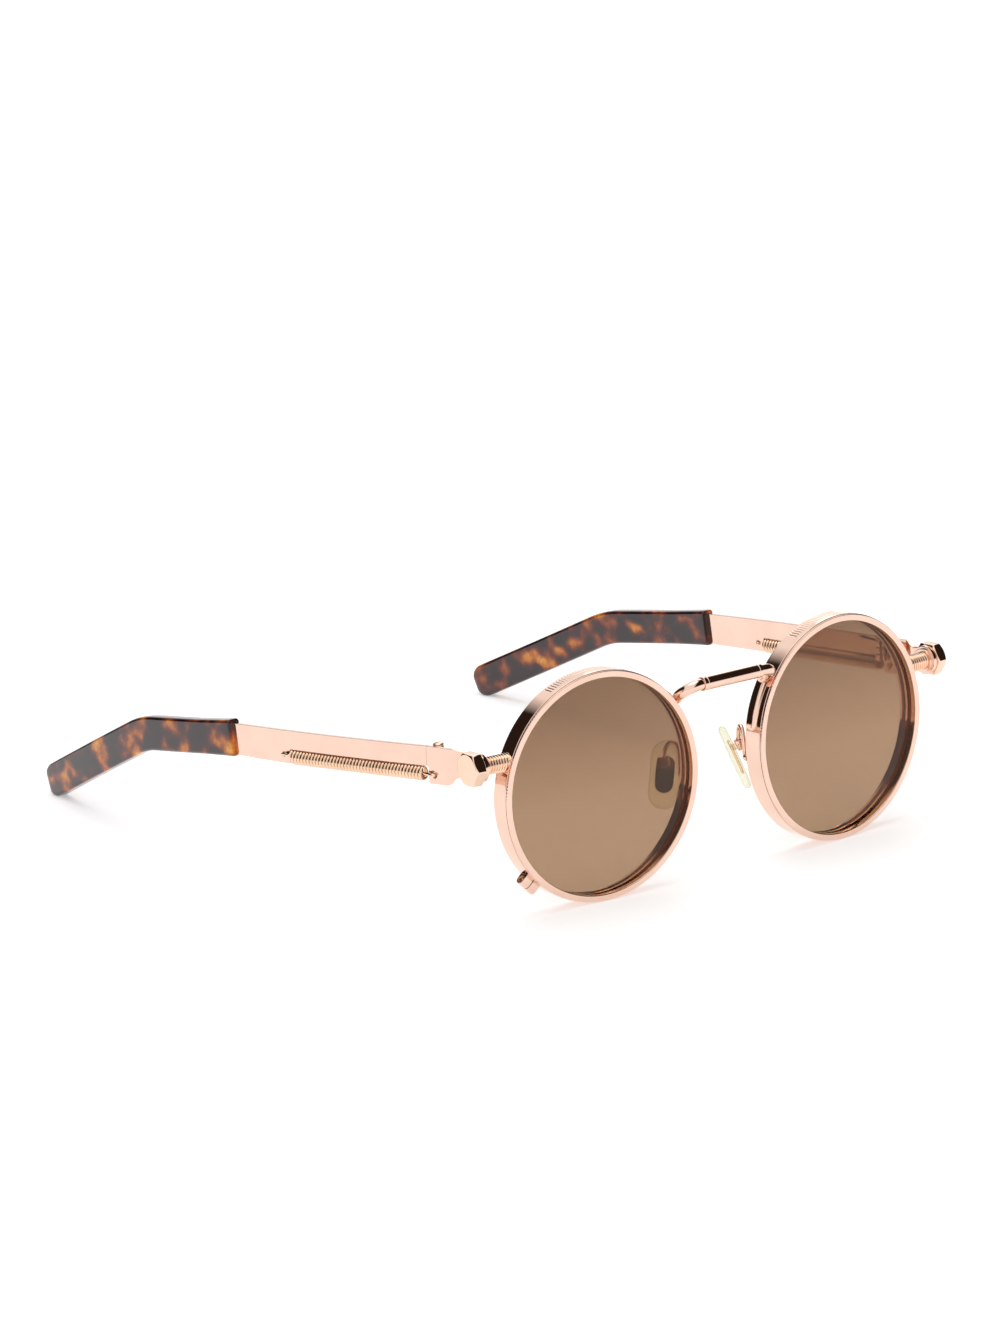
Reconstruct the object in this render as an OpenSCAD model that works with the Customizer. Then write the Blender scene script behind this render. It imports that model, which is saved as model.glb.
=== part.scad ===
// Round metal spectacle frame with exposed temple springs and two lift-off tinted clip rings.
// Millimetres. X runs across the face, Y from the front to the back, Z up.
// The origin is under the middle of the bounding box, on the surface it stands on.
// Every paired piece is modelled on the +X side (wearer's left) and mirrored for the other.

/* [Front] */
// Diameter of each lens opening
lens_d = 47; // [45:0.5:48]
// Gap between the two lens openings at the nose
bridge_w = 20.7; // [20:0.1:21.5]
// Angle each rim turns back at the temple side, in degrees
wrap = 4.15; // [3:0.05:5]
// Radial width of the rim band and clip ring face
rim_face = 1.5; // [1.3:0.05:1.8]
// Depth of the whole rim with its clip ring on
rim_depth = 4.8; // [4.6:0.1:5.2]

/* [Clip ring] */
// Depth of the clip ring's visible flange
flange_depth = 0.4; // [0.4:0.05:1]
// Gap behind the flange
seam = 0.1; // [0.1:0.05:0.3]
// Radial clearance between the clip ring's skirt and its seat
seat_gap = 0.1; // [0.05:0.01:0.15]
// How far the clip rings are drawn lifted off forwards
lifted = 0; // [0:1:25]

/* [Temple] */
// Y of the hinge joint, behind the front of the clip rings
joint_y = 20; // [19.5:0.1:20.5]
// Thickness of the temple and end piece plates
plate_t = 1; // [0.8:0.05:1.1]
// Thickness of the acetate tip
tip_t = 3.2; // [2.6:0.1:3.6]
// Width of the acetate tip behind its bend
tip_w = 7.7; // [7:0.1:8.2]
// Outer radius of the temple spring
spring_r = 1.65; // [1.4:0.05:1.7]

/* [Side bolt] */
// Radius of the bolt's threaded shank
shank_r = 1.98; // [1.6:0.02:2.1]
// Width across the flats of the hexagon head
head_af = 6.8; // [6:0.1:7.2]
// Thickness of the hexagon head
head_t = 2.6; // [2:0.1:3]

/* [Bridge and nose pads] */
// Outer radius of the bridge sleeve
sleeve_r = 1.53; // [1.45:0.01:1.7]
// Length of the bridge sleeve
sleeve_l = 16.5; // [14:0.1:17]
// Radius of the bridge rods
rod_r = 1.25; // [1:0.01:1.3]
// Length of a nose pad
pad_l = 15; // [13:0.5:15.5]
// Width of a nose pad
pad_w = 7; // [6:0.1:7.4]
// Thickness of a nose pad
pad_t = 2; // [1.6:0.1:2.2]

/* [Hidden] */
LEFT = 1;
RIGHT = -1;
$fn = 96;

lens_r = lens_d / 2;
rim_r = lens_r + rim_face;
lens_x = (bridge_w + lens_d) / 2;
rim_z = rim_r;
ring_r = rim_r - 0.1;
skirt_r = rim_r - 0.65;
seat_r = skirt_r + seat_gap;
tint_r = lens_r + 0.5;
tint_y = 1.25;
tint_t = 1;
skirt_end = 2.35;
clear_r = lens_r + 0.8;
clear_y = 3.1;
clear_t = 1;
lip_step = 0.1;
lens_sag = 0.8;
band_y = flange_depth + seam;

// Closing block of the rim, at the lower temple-side corner
lock_angle = -45;
lock_y = 3;
lock_r = 1.15;
lock_half = 2.2;
lock_gap = 0.15;
lock_screw_r = 0.5;
lock_head_r = 0.85;
lock_sink = 0.5;

// Side bolt, along each rim's own sideways axis
bolt_y = 2.7;
bolt_z = 9;
eye_x = 29.3;
eye_r = 3.2;
collar_r = 2.65;
collar_t = 0.6;

// Bridge
sleeve_y = -2.8;
sleeve_z = 43;
sleeve_wall = 0.26;
foot_from = 138;
foot_to = 171.5;
foot_r = rim_r + 0.9;
foot_y = [1.8, 4.6];

// Temple, in side view
top_z = 36.4;
bottom_z = 28.4;
top_slope = 0.0843;
bottom_slope = 0.0683;
tip_y = 83;
tang_y = 84.5;
tang_w = 2.6;
tang_end = 150;
tip_front = [tip_y, 27.85];
tip_bend = [117.4, 22.8];
tip_back = [158.65, tip_w / 2];
bend_r = 30;
tip_flare = 0.4;
tip_cover = 0.15;
bow_slope = 0.113;
bow_curve = 0.00091;
temple_x0 = 64.8;
slit = 0.1;

// Hinge
hinge_x = 63;
hinge_y = 18.7;
knuckle_r = 1.25;
knuckle_z = [31.7, 33.15, 33.25, 34.75, 34.85, 36.3];
pin_r = 0.55;
pin_gap = 0.07;
leaf_t = 0.8;
leaf_l = 5.5;
leaf_z = [32.3, 35.4];
leaf_end = 28;
hinge_head = [1.2, 0.7];
swing_gap = 0.15;

// Spring and its notch
spring_from = [21.2, 30.2];
spring_to = [62.6, 26.9];
notch_y = 63.4;
notch_gap = 0.12;
wire_r = 0.42;
front_hole = [17.4, 30.5];
front_hole_r = 0.75;
rear_hole = [65.4, 27.3];
rear_hole_r = 0.55;

// Nose pad, in its own frame: x towards the rim, y across, z up along the pad
pad_at = [9.9, 8.1, 21.5];
pad_turn = 33;
pad_lean = 22;
pad_axis = [2.1, 2.2];
pad_screw_r = 0.35;
arm_r = 0.5;

// Sizes of the blocks that shapes are cut from and cut with
far = 60;
plate_zone = [55, 75];
sky = 50;

rear_y = tip_back[0] + tip_w / 2;
front_y = -(rear_y + sleeve_y - sleeve_r) / 2;

rose = [0.87, 0.62, 0.54];
pale_gold = [0.9, 0.74, 0.55];
brown = [0.55, 0.4, 0.3, 0.7];
clear_glass = [0.85, 0.9, 0.92, 0.35];
tortoise = [0.2, 0.11, 0.07];
silicone = [0.93, 0.9, 0.75, 0.6];

// ---- frames ----

module placed(side)
    translate([0, front_y, 0]) mirror([side == RIGHT ? 1 : 0, 0, 0]) children();

// A rim's own frame: x to the temple, y back from the clip ring's face, z up
module in_rim(side) placed(side) translate([lens_x, 0, rim_z]) rotate([0, 0, wrap]) children();

// Radially outwards at an angle round the rim
module at_angle(angle) rotate([0, -angle, 0]) children();

// A cylinder or cone along the rim's x axis, at the side bolt
module on_bolt(x0, x1, r0, r1)
    translate([x0, bolt_y, bolt_z]) rotate([0, 90, 0]) cylinder(h = x1 - x0, r1 = r0, r2 = r1);

// A profile of [radius, depth] points turned about the rim's y axis
module turned(profile) rotate([-90, 0, 0]) rotate_extrude() polygon(profile);

module disc(r, y0, y1) translate([0, y0, 0]) rotate([-90, 0, 0]) cylinder(h = y1 - y0, r = r);

// A flat outline of [y, z] points given thickness along x
module side_prism(x0, x1) translate([x0, 0, 0]) rotate([90, 0, 90]) linear_extrude(x1 - x0) children();

module in_pad(side)
    placed(side) translate(pad_at) rotate([0, 0, -pad_turn]) rotate([0, -pad_lean, 0]) children();

// A rod across the pad, along the pad's y axis
module across_pad(r, y0, y1)
    translate([pad_axis[0], y0, pad_axis[1]]) rotate([-90, 0, 0]) cylinder(h = y1 - y0, r = r, $fn = 32);

// ---- curves ----

function unit(v) = v / norm(v);
function mid_dir(p, i) = unit(p[min(i + 1, len(p) - 1)] - p[max(i - 1, 0)]);
function side_of(d) = [-d[1], d[0]];

// Outline of a band of width w centred on the points p
function band(p, w) = concat(
    [for (i = [0 : len(p) - 1]) p[i] + side_of(mid_dir(p, i)) * w / 2],
    [for (i = [len(p) - 1 : -1 : 0]) p[i] - side_of(mid_dir(p, i)) * w / 2]);

function spline_at(a, b, c, d, t) =
    (2 * b + (c - a) * t + (2 * a - 5 * b + 4 * c - d) * t * t + (3 * b - a - 3 * c + d) * t * t * t) / 2;
function spline(p, steps) = concat(
    [for (i = [0 : len(p) - 2]) for (k = [0 : steps - 1])
        spline_at(p[max(i - 1, 0)], p[i], p[i + 1], p[min(i + 2, len(p) - 1)], k / steps)],
    [p[len(p) - 1]]);

// A round tube of radius r along the points p; "across" only has to be parallel to none of it
module tube(p, r, sides) {
    n = len(p);
    across = [0.31, -0.42, 0.85];
    points = [for (i = [0 : n - 1]) let (d = mid_dir(p, i), u = unit(cross(d, across)), v = cross(d, u))
        for (k = [0 : sides - 1]) p[i] + (u * cos(360 * k / sides) + v * sin(360 * k / sides)) * r];
    walls = [for (i = [0 : n - 2]) for (k = [0 : sides - 1]) let (a = i * sides, j = (k + 1) % sides)
        [a + k, a + sides + k, a + sides + j, a + j]];
    ends = [[for (k = [0 : sides - 1]) k], [for (k = [sides - 1 : -1 : 0]) (n - 1) * sides + k]];
    polyhedron(points, concat(walls, ends), convexity = 6);
}

// Plan curve of the temple: it bows outwards, then comes in at the tip
function temple_x(y) = temple_x0 + bow_slope * (y - joint_y) - bow_curve * pow(y - joint_y, 2);
function plan(y0, y1, step) = [for (y = [y0 : step : y1 - step / 2]) [temple_x(y), y]];
function plan_to(y0, y1, step) = concat(plan(y0, y1, step), [[temple_x(y1), y1]]);

module temple_wall(y0, y1, t) linear_extrude(sky) polygon(band(plan_to(y0, y1, 5), t));

function top_at(y) = top_z - top_slope * (y - joint_y);
function bottom_at(y) = bottom_z - bottom_slope * (y - joint_y);
function notch_at(y) = spring_from[1] + spring_r + notch_gap
    + (spring_to[1] - spring_from[1]) * (y - spring_from[0]) / (spring_to[0] - spring_from[0]);

// Centre line of the tip in side view: two straights joined by an arc at the bend
function heading(a, b) = atan2(b[1] - a[1], b[0] - a[0]);
tip_dir0 = heading(tip_front, tip_bend);
tip_dir1 = heading(tip_bend, tip_back);
bend_len = bend_r * tan((tip_dir0 - tip_dir1) / 2);
bend_start = tip_bend - bend_len * [cos(tip_dir0), sin(tip_dir0)];
bend_mid = bend_start + bend_r * [sin(tip_dir0), -cos(tip_dir0)];
bend_arc = [for (k = [0 : 6]) let (a = 90 + tip_dir0 + (tip_dir1 - tip_dir0) * k / 6)
    bend_mid + bend_r * [cos(a), sin(a)]];
tip_line = concat([tip_front], bend_arc, [tip_back]);
tip_n = len(tip_line);
function tip_edge(i, way) =
    tip_line[i] + side_of(mid_dir(tip_line, i)) * way * (tip_w + (i == 0 ? tip_flare : 0)) / 2;
tip_outline = concat(
    [for (i = [0 : tip_n - 1]) tip_edge(i, 1)],
    [for (k = [1 : 11]) let (a = tip_dir1 + 90 - 15 * k) tip_back + tip_w / 2 * [cos(a), sin(a)]],
    [for (i = [tip_n - 1 : -1 : 0]) tip_edge(i, -1)]);
tang_line = concat([[tang_y, tip_front[1] - tip_cover]], bend_arc,
    [tip_back + (tip_bend - tip_back) * (tip_back[0] - tang_end) / (tip_back[0] - tip_bend[0])]);

// ---- front ----

module rim(side) color(rose) in_rim(side)
    difference() {
        turned([[rim_r, band_y], [rim_r, rim_depth], [lens_r + lip_step, rim_depth],
            [lens_r + lip_step, clear_y + clear_t], [clear_r, clear_y + clear_t], [clear_r, clear_y],
            [lens_r + lip_step, clear_y], [lens_r + lip_step, skirt_end + seat_gap],
            [seat_r, skirt_end + seat_gap], [seat_r, band_y]]);
        at_angle(lock_angle) translate([0, 0, -lock_gap / 2]) cube([far, far, lock_gap]);
    }

module rim_lock(side) color(rose) in_rim(side)
    difference() {
        at_angle(lock_angle) difference() {
            union() {
                translate([rim_r + lock_r, lock_y, -lock_half]) cylinder(h = 2 * lock_half, r = lock_r);
                translate([lens_r, lock_y - lock_r, -lock_half])
                    cube([rim_r + lock_r - lens_r, 2 * lock_r, 2 * lock_half]);
            }
            translate([0, 0, -lock_gap / 2]) cube([far, far, lock_gap]);
            translate([rim_r + lock_r, lock_y, -far / 2]) cylinder(h = far, r = lock_screw_r, $fn = 32);
            translate([rim_r + lock_r, lock_y, lock_half - lock_sink])
                cylinder(h = 2 * lock_sink, r = lock_head_r, $fn = 32);
        }
        disc(rim_r, 0, far);
    }

module rim_lock_screw(side) color(pale_gold) in_rim(side) at_angle(lock_angle)
    translate([rim_r + lock_r, lock_y, 0]) {
        translate([0, 0, -lock_half]) cylinder(h = 2 * lock_half - lock_sink, r = lock_screw_r, $fn = 32);
        translate([0, 0, lock_half - lock_sink]) difference() {
            cylinder(h = lock_sink - 0.05, r = lock_head_r - 0.03, $fn = 32);
            translate([-1, -0.1, lock_sink / 2]) cube([2, 0.2, 1]);
        }
    }

// A domed lens with a flat edge that sits in its groove, from the opening's radius out to r
function lens_arc(opening, y) =
    [for (k = [0 : 8]) [opening * k / 8, y - lens_sag * (1 - pow(k / 8, 2))]];
function backwards(p) = [for (i = [len(p) - 1 : -1 : 0]) p[i]];
module lens(opening, r, y, t)
    turned(concat(lens_arc(opening, y), [[r, y], [r, y + t]], backwards(lens_arc(opening, y + t))));

module clear_lens(side) color(clear_glass) in_rim(side)
    lens(lens_r + lip_step, clear_r, clear_y, clear_t);

module bridge_sleeve() color(rose) placed(LEFT)
    translate([-sleeve_l / 2, sleeve_y, sleeve_z]) rotate([0, 90, 0]) difference() {
        cylinder(h = sleeve_l, r = sleeve_r);
        translate([0, 0, -1]) cylinder(h = sleeve_l + 2, r = sleeve_r - sleeve_wall);
    }

// The rod leaves the sleeve, turns back past the clip ring and runs into a flat foot on the rim
module bridge_rod(side) color(rose) {
    rod = [[4, sleeve_y, sleeve_z], [sleeve_l / 2, sleeve_y, sleeve_z], [10, -2.8, 42.9],
        [11.4, -2.3, 42.4], [12.1, -1.35, 41.7], [12.3, -0.3, 40.95], [12.15, 0.7, 40.1]];
    placed(side) tube(spline(rod, 4), rod_r, 16);
    in_rim(side) difference() {
        disc(foot_r, foot_y[0], foot_y[1]);
        disc(rim_r, 0, far);
        at_angle(foot_from) translate([0, 0, -far]) cube(far);
        at_angle(foot_to) cube(far);
        translate([0, 0, -far]) cube([far, far, 2 * far]);
        translate([-far, 0, -far]) cube([2 * far, far, far]);
    }
}

module side_bolt(side) color(pale_gold) in_rim(side) {
    head_x = eye_x + plate_t;
    difference() {
        on_bolt(lens_r - 4, head_x, shank_r, shank_r);
        disc(rim_r, 0, far);
    }
    intersection() {
        translate([head_x, bolt_y, bolt_z]) rotate([0, 90, 0]) rotate([0, 0, 30])
            cylinder(h = head_t, r = head_af / 2 / cos(30), $fn = 6);
        on_bolt(head_x, head_x + head_t, head_af / 2 + 3.1, head_af / 2 - 0.05);
    }
}

module bolt_collar(side) color(rose) in_rim(side) difference() {
    on_bolt(eye_x - collar_t, eye_x, collar_r, collar_r);
    on_bolt(eye_x - 2 * collar_t, eye_x + 1, shank_r, shank_r);
}

// Side view of the end piece behind its eye: a narrow tongue, then the full-height plate
module end_profile() difference() {
    polygon([[5, 36.7], [8.3, 36.55], [10.6, 36.9], [11.4, top_at(11.4)], [joint_y, top_z],
        [joint_y, 32.1], [joint_y - 0.6, 32.1], [joint_y - 0.6, bottom_z + 0.3],
        [joint_y - 0.9, bottom_z], [12.9, 29], [12.3, 29.4], [11.6, 30.3], [10.8, 30.95],
        [8.3, 31.4], [5, 31.3]]);
    translate(front_hole) circle(r = front_hole_r, $fn = 32);
}

module end_piece(side) color(rose) difference() {
    union() {
        placed(side) intersection() {
            side_prism(plate_zone[0], plate_zone[1]) end_profile();
            linear_extrude(sky) polygon(band([[63.55, 2], [63.38, 4.8], [63.14, 8], [63.45, 9.1],
                [64.45, 11.1], [64.8, 12.4], [64.8, joint_y + 1]], plate_t));
        }
        in_rim(side) on_bolt(eye_x, eye_x + plate_t, eye_r, eye_r);
    }
    in_rim(side) {
        on_bolt(eye_x - 1, eye_x + 2, shank_r, shank_r);
        on_bolt(eye_x - 2 * collar_t, eye_x, collar_r + 0.05, collar_r + 0.05);
    }
}

// ---- hinge ----

module knuckle(z0, z1, r) translate([hinge_x, hinge_y, z0]) cylinder(h = z1 - z0, r = r);

module knuckle_bore() knuckle(knuckle_z[0] - 1, knuckle_z[5] + 1, pin_r + pin_gap);

module front_hinge(side) color(rose) placed(side) difference() {
    union() {
        knuckle(knuckle_z[0], knuckle_z[1], knuckle_r);
        knuckle(knuckle_z[4], knuckle_z[5], knuckle_r);
        translate([temple_x0 - plate_t / 2 - leaf_t, hinge_y - leaf_l, knuckle_z[0]])
            cube([leaf_t, leaf_l, knuckle_z[5] - knuckle_z[0]]);
    }
    knuckle(knuckle_z[1], knuckle_z[4], knuckle_r + swing_gap);
    knuckle_bore();
}

module rear_hinge(side) color(rose) placed(side) difference() {
    union() {
        knuckle(knuckle_z[2], knuckle_z[3], knuckle_r);
        difference() {
            translate([0, 0, leaf_z[0]]) linear_extrude(leaf_z[1] - leaf_z[0])
                polygon([[hinge_x, joint_y - 0.3], [temple_x0 - plate_t / 2, joint_y - 0.3],
                    [temple_x0 - plate_t / 2, joint_y], [temple_x(leaf_end) - plate_t / 2, leaf_end],
                    [temple_x(leaf_end) - 1.2, leaf_end], [hinge_x + 1, joint_y + 2]]);
            temple_wall(joint_y - 5, leaf_end + 5, plate_t);
            knuckle(knuckle_z[0] - 1, knuckle_z[2], knuckle_r + swing_gap);
            knuckle(knuckle_z[3], knuckle_z[5] + 1, knuckle_r + swing_gap);
        }
    }
    knuckle_bore();
}

module hinge_screw(side) color(pale_gold) placed(side) {
    knuckle(knuckle_z[0], knuckle_z[5], pin_r);
    difference() {
        knuckle(knuckle_z[5], knuckle_z[5] + hinge_head[1], hinge_head[0]);
        translate([hinge_x - 2, hinge_y - 0.15, knuckle_z[5] + 0.4]) cube([4, 0.3, 1]);
    }
}

// ---- temple ----

module temple_profile() {
    difference() {
        polygon([[joint_y + slit, top_z], [tang_y, top_at(tang_y)], [tang_y, bottom_at(tang_y)],
            [notch_y, bottom_at(notch_y)], [notch_y, notch_at(notch_y)],
            [joint_y + slit, notch_at(joint_y)]]);
        translate(rear_hole) circle(r = rear_hole_r, $fn = 32);
    }
    polygon(band(tang_line, tang_w));
}

module temple_body() intersection() {
    side_prism(plate_zone[0], plate_zone[1]) temple_profile();
    temple_wall(joint_y - 5, rear_y, plate_t);
}

module temple(side) color(rose) placed(side) temple_body();

module temple_tip(side) color(tortoise) placed(side) difference() {
    intersection() {
        side_prism(plate_zone[0], plate_zone[1]) polygon(tip_outline);
        temple_wall(tip_y, rear_y + 1, tip_t);
    }
    temple_body();
}

function spring_end(p) = [temple_x(p[0]), p[0], p[1]];

module temple_spring(side) color(pale_gold) placed(side) {
    a = spring_end(spring_from);
    b = spring_end(spring_to);
    d = b - a;
    translate(a) rotate([0, acos(d[2] / norm(d)), atan2(d[1], d[0])]) difference() {
        cylinder(h = norm(d), r = spring_r);
        translate([0, 0, -1]) cylinder(h = norm(d) + 2, r = spring_r - 2 * wire_r);
    }
    out = plate_t / 2 + wire_r + 0.1;
    in_front = [temple_x0, front_hole[0], front_hole[1]];
    tube(spline([a + [0, 0.2, spring_r - wire_r], a + [0.7, -0.7, 0.9], in_front + [out, 1, 0.05],
        in_front + [out - 0.1, 0.2, 0], in_front], 3), wire_r, 8);
    in_rear = [temple_x(rear_hole[0]), rear_hole[0], rear_hole[1]];
    tube(spline([b + [0, -0.2, spring_r - wire_r], b + [0.75, 0.2, 1], in_rear + [out, -1.4, 0.3],
        in_rear + [out - 0.1, -0.2, 0], in_rear], 3), wire_r, 8);
}

// ---- nose pads ----

module pad_arm(side) color(rose) {
    foot = [9.26, 3.63, 22.5];
    box_top = [10.62, 7.6, 25.4];
    placed(side) tube(spline([foot, [9.24, 4.05, 23.6], [9.2, 4.2, 26], [9.25, 4.6, 28.1], [9.55, 5.5, 29],
        [10.05, 6.6, 28.5], [10.5, 7.3, 27], box_top], 4), arm_r, 10);
    in_rim(side) translate([-24.3, rim_depth, foot[2] - rim_z]) rotate([-90, 0, 0])
        cylinder(h = 1, r = 0.8, $fn = 32);
    in_pad(side) difference() {
        translate([1.35, -1.2, 1.2]) cube([1.75, 2.4, 2.1]);
        translate([1, -0.56, 0]) cube([1.8, 1.12, 4]);
        across_pad(pad_screw_r, -2, 2);
    }
}

module pad_screw(side) color(pale_gold) in_pad(side) {
    across_pad(pad_screw_r, -1.2, 1.2);
    across_pad(0.6, -1.55, -1.2);
}

module insert_body() {
    rotate([90, 0, 90]) translate([0, 0, -0.1]) linear_extrude(0.6) {
        square([4.2, 4], center = true);
        translate([0, 2]) circle(r = 2.1);
        translate([0, -2]) circle(r = 2.1);
    }
    translate([0.5, -0.5, pad_axis[1] - 0.65]) cube([pad_axis[0] - 0.5, 1, 1.3]);
    across_pad(0.65, -0.5, 0.5);
}

module pad_insert(side) color(pale_gold) in_pad(side) difference() {
    insert_body();
    across_pad(pad_screw_r + 0.05, -1, 1);
}

module nose_pad(side) color(silicone) in_pad(side) difference() {
    rotate([90, 0, 90]) translate([0, 0, -pad_t / 2]) linear_extrude(pad_t) {
        square([pad_w, pad_l - pad_w], center = true);
        for (end = [-1, 1]) translate([0, end * (pad_l - pad_w) / 2]) circle(d = pad_w);
    }
    insert_body();
}

// ---- clip rings ----

module lifting(side) in_rim(side) translate([0, -lifted, 0]) children();

module clip_ring(side) color(rose) lifting(side)
    turned([[lens_r, 0], [ring_r, 0], [ring_r, flange_depth], [skirt_r, flange_depth], [skirt_r, skirt_end],
        [tint_r, skirt_end], [tint_r, tint_y], [lens_r, tint_y]]);

module tinted_lens(side) color(brown) lifting(side) lens(lens_r, tint_r, tint_y, tint_t);

rim(RIGHT);  // rim_right
rim(LEFT);  // rim_left
rim_lock(RIGHT);  // rim_lock_right
rim_lock(LEFT);  // rim_lock_left
rim_lock_screw(RIGHT);  // rim_lock_screw_right
rim_lock_screw(LEFT);  // rim_lock_screw_left
clear_lens(RIGHT);  // clear_lens_right
clear_lens(LEFT);  // clear_lens_left
bridge_sleeve();
bridge_rod(RIGHT);  // bridge_rod_right
bridge_rod(LEFT);  // bridge_rod_left
side_bolt(RIGHT);  // side_bolt_right
side_bolt(LEFT);  // side_bolt_left
bolt_collar(RIGHT);  // bolt_collar_right
bolt_collar(LEFT);  // bolt_collar_left
end_piece(RIGHT);  // end_piece_right
end_piece(LEFT);  // end_piece_left
front_hinge(RIGHT);  // front_hinge_right
front_hinge(LEFT);  // front_hinge_left
hinge_screw(RIGHT);  // hinge_screw_right
hinge_screw(LEFT);  // hinge_screw_left
pad_arm(RIGHT);  // pad_arm_right
pad_arm(LEFT);  // pad_arm_left
pad_screw(RIGHT);  // pad_screw_right
pad_screw(LEFT);  // pad_screw_left
pad_insert(RIGHT);  // pad_insert_right
pad_insert(LEFT);  // pad_insert_left
nose_pad(RIGHT);  // nose_pad_right
nose_pad(LEFT);  // nose_pad_left
clip_ring(RIGHT);  // clip_ring_right
clip_ring(LEFT);  // clip_ring_left
tinted_lens(RIGHT);  // tinted_lens_right
tinted_lens(LEFT);  // tinted_lens_left
temple(RIGHT);  // temple_right
temple(LEFT);  // temple_left
rear_hinge(RIGHT);  // rear_hinge_right
rear_hinge(LEFT);  // rear_hinge_left
temple_tip(RIGHT);  // temple_tip_right
temple_tip(LEFT);  // temple_tip_left
temple_spring(RIGHT);  // temple_spring_right
temple_spring(LEFT);  // temple_spring_left
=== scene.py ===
from math import atan2, cos, degrees, floor, hypot, pi, radians, sin, sqrt, tan

import bmesh
import bpy
from mathutils import Matrix, Vector


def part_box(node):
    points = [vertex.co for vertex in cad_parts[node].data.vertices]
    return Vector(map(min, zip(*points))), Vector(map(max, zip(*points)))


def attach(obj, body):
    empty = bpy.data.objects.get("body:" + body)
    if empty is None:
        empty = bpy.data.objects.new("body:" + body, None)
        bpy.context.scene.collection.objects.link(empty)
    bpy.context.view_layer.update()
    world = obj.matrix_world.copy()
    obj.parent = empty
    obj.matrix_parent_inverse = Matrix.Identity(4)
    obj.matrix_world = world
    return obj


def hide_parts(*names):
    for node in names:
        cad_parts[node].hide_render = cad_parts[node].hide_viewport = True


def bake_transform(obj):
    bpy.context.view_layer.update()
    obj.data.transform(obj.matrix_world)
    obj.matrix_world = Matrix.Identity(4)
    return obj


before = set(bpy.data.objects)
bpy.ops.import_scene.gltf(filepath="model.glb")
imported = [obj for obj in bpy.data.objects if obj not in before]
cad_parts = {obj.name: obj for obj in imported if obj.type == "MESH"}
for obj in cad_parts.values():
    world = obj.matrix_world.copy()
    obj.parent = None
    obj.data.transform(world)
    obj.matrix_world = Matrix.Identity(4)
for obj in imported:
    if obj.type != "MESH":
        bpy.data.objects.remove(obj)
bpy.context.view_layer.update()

MM = 0.001
SIDES = {"right": -1, "left": 1}

# ---- sizes in millimetres, as the CAD has them ----

LENS_R = 23.5
RIM_R = 25.0
LENS_X = 33.85
RIM_Z = 25.0
RIM_DEPTH = 4.8
WRAP = radians(4.15)
RING_R, FLANGE, SKIRT_R, SKIRT_END = 24.9, 0.4, 24.35, 2.35
SEAT_R, BAND_Y = 24.45, 0.5
TINT_R, TINT_Y = 24.0, 1.25
CLEAR_R, CLEAR_Y = 24.3, 3.1
LIP_R = 23.6
LENS_T, LENS_SAG = 1.0, 0.8

LOCK_ANGLE, LOCK_Y, LOCK_R, LOCK_HALF, LOCK_GAP = -45, 3.0, 1.15, 2.2, 0.15
LOCK_HEAD_R, LOCK_SINK = 0.85, 0.5

BOLT_Y, BOLT_Z, SHANK_R = 2.7, 9.0, 1.98
EYE_X, EYE_R, PLATE_T = 29.3, 3.2, 1.0
# the small step by which faces that touch are kept apart, or sunk in
EASE = 0.02
COLLAR_R, COLLAR_T = 2.65, 0.6
HEAD_AF, HEAD_T, CHAMFER_SLOPE = 6.8, 2.6, 0.825

SLEEVE_Y, SLEEVE_Z, SLEEVE_R, SLEEVE_L, SLEEVE_WALL = -2.8, 43.0, 1.53, 16.5, 0.26
ROD_R = 1.25
FOOT_FROM, FOOT_TO, FOOT_END, FOOT_R, FOOT_Y = 138, 171.5, 3.2, 25.9, (1.8, 4.6)

JOINT_Y, TOP_Z, BOTTOM_Z = 20.0, 36.4, 28.4
TOP_SLOPE, BOTTOM_SLOPE = 0.0843, 0.0683
TIP_T, TIP_W, TIP_EDGE, TIP_FLARE = 3.2, 7.7, 0.85, 0.2
TIP_FRONT, TIP_BEND, TIP_BACK, BEND_R = (83, 27.85), (117.4, 22.8), (158.65, 3.85), 30
PLATE_END = 84.5
BOW_SLOPE, BOW_CURVE, TEMPLE_X = 0.113, 0.00091, 64.8

HINGE = (63.0, 18.7)
KNUCKLE_R, KNUCKLE_ROOM, PIN_BORE, PIN_R = 1.25, 1.4, 0.62, 0.55
KNUCKLES = (31.7, 33.15, 33.25, 34.75, 34.85, 36.3)
LEAF_BACK, LEAF_Z, LEAF_H = 28, 33.85, 3.1

SPRING_R, WIRE_R = 1.65, 0.42
SPRING_FROM, SPRING_TO = (21.2, 30.2), (62.6, 26.9)
NOTCH_Y, NOTCH_GAP = 63.4, 0.12
FRONT_HOLE, FRONT_HOLE_R = (17.4, 30.5), 0.75
REAR_HOLE, REAR_HOLE_R = (65.4, 27.3), 0.55

PAD_AT, PAD_TURN, PAD_LEAN = (9.9, 8.1, 21.5), radians(33), radians(22)
PAD_AXIS = (2.1, 2.2)
PAD_L, PAD_W, PAD_T = 15.0, 7.0, 2.0
BOX_FROM, BOX_TO, BOX_BACK = (1.35, 0.56, 1.2), (3.1, 1.2, 3.3), 0.3
ARM_R, ARM_FOOT = 0.5, (24.3, 22.5)

# The clip rings' front plane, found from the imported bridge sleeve
FRONT_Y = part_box("bridge_sleeve")[0][1] / MM - (SLEEVE_Y - SLEEVE_R)


# ---- camera ----

CAMERA_AT = (-0.872406, -1.090130, 0.372946)
CAMERA_LENS, SENSOR_HEIGHT = 173.89, 36.0
# the directions to its right, its top and its back
CAMERA_AXES = ((0.77348788, -0.63271848, -0.03719971), (0.1784526, 0.16108613, 0.97067292),
               (-0.60817034, -0.75744213, 0.23750843))


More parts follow.
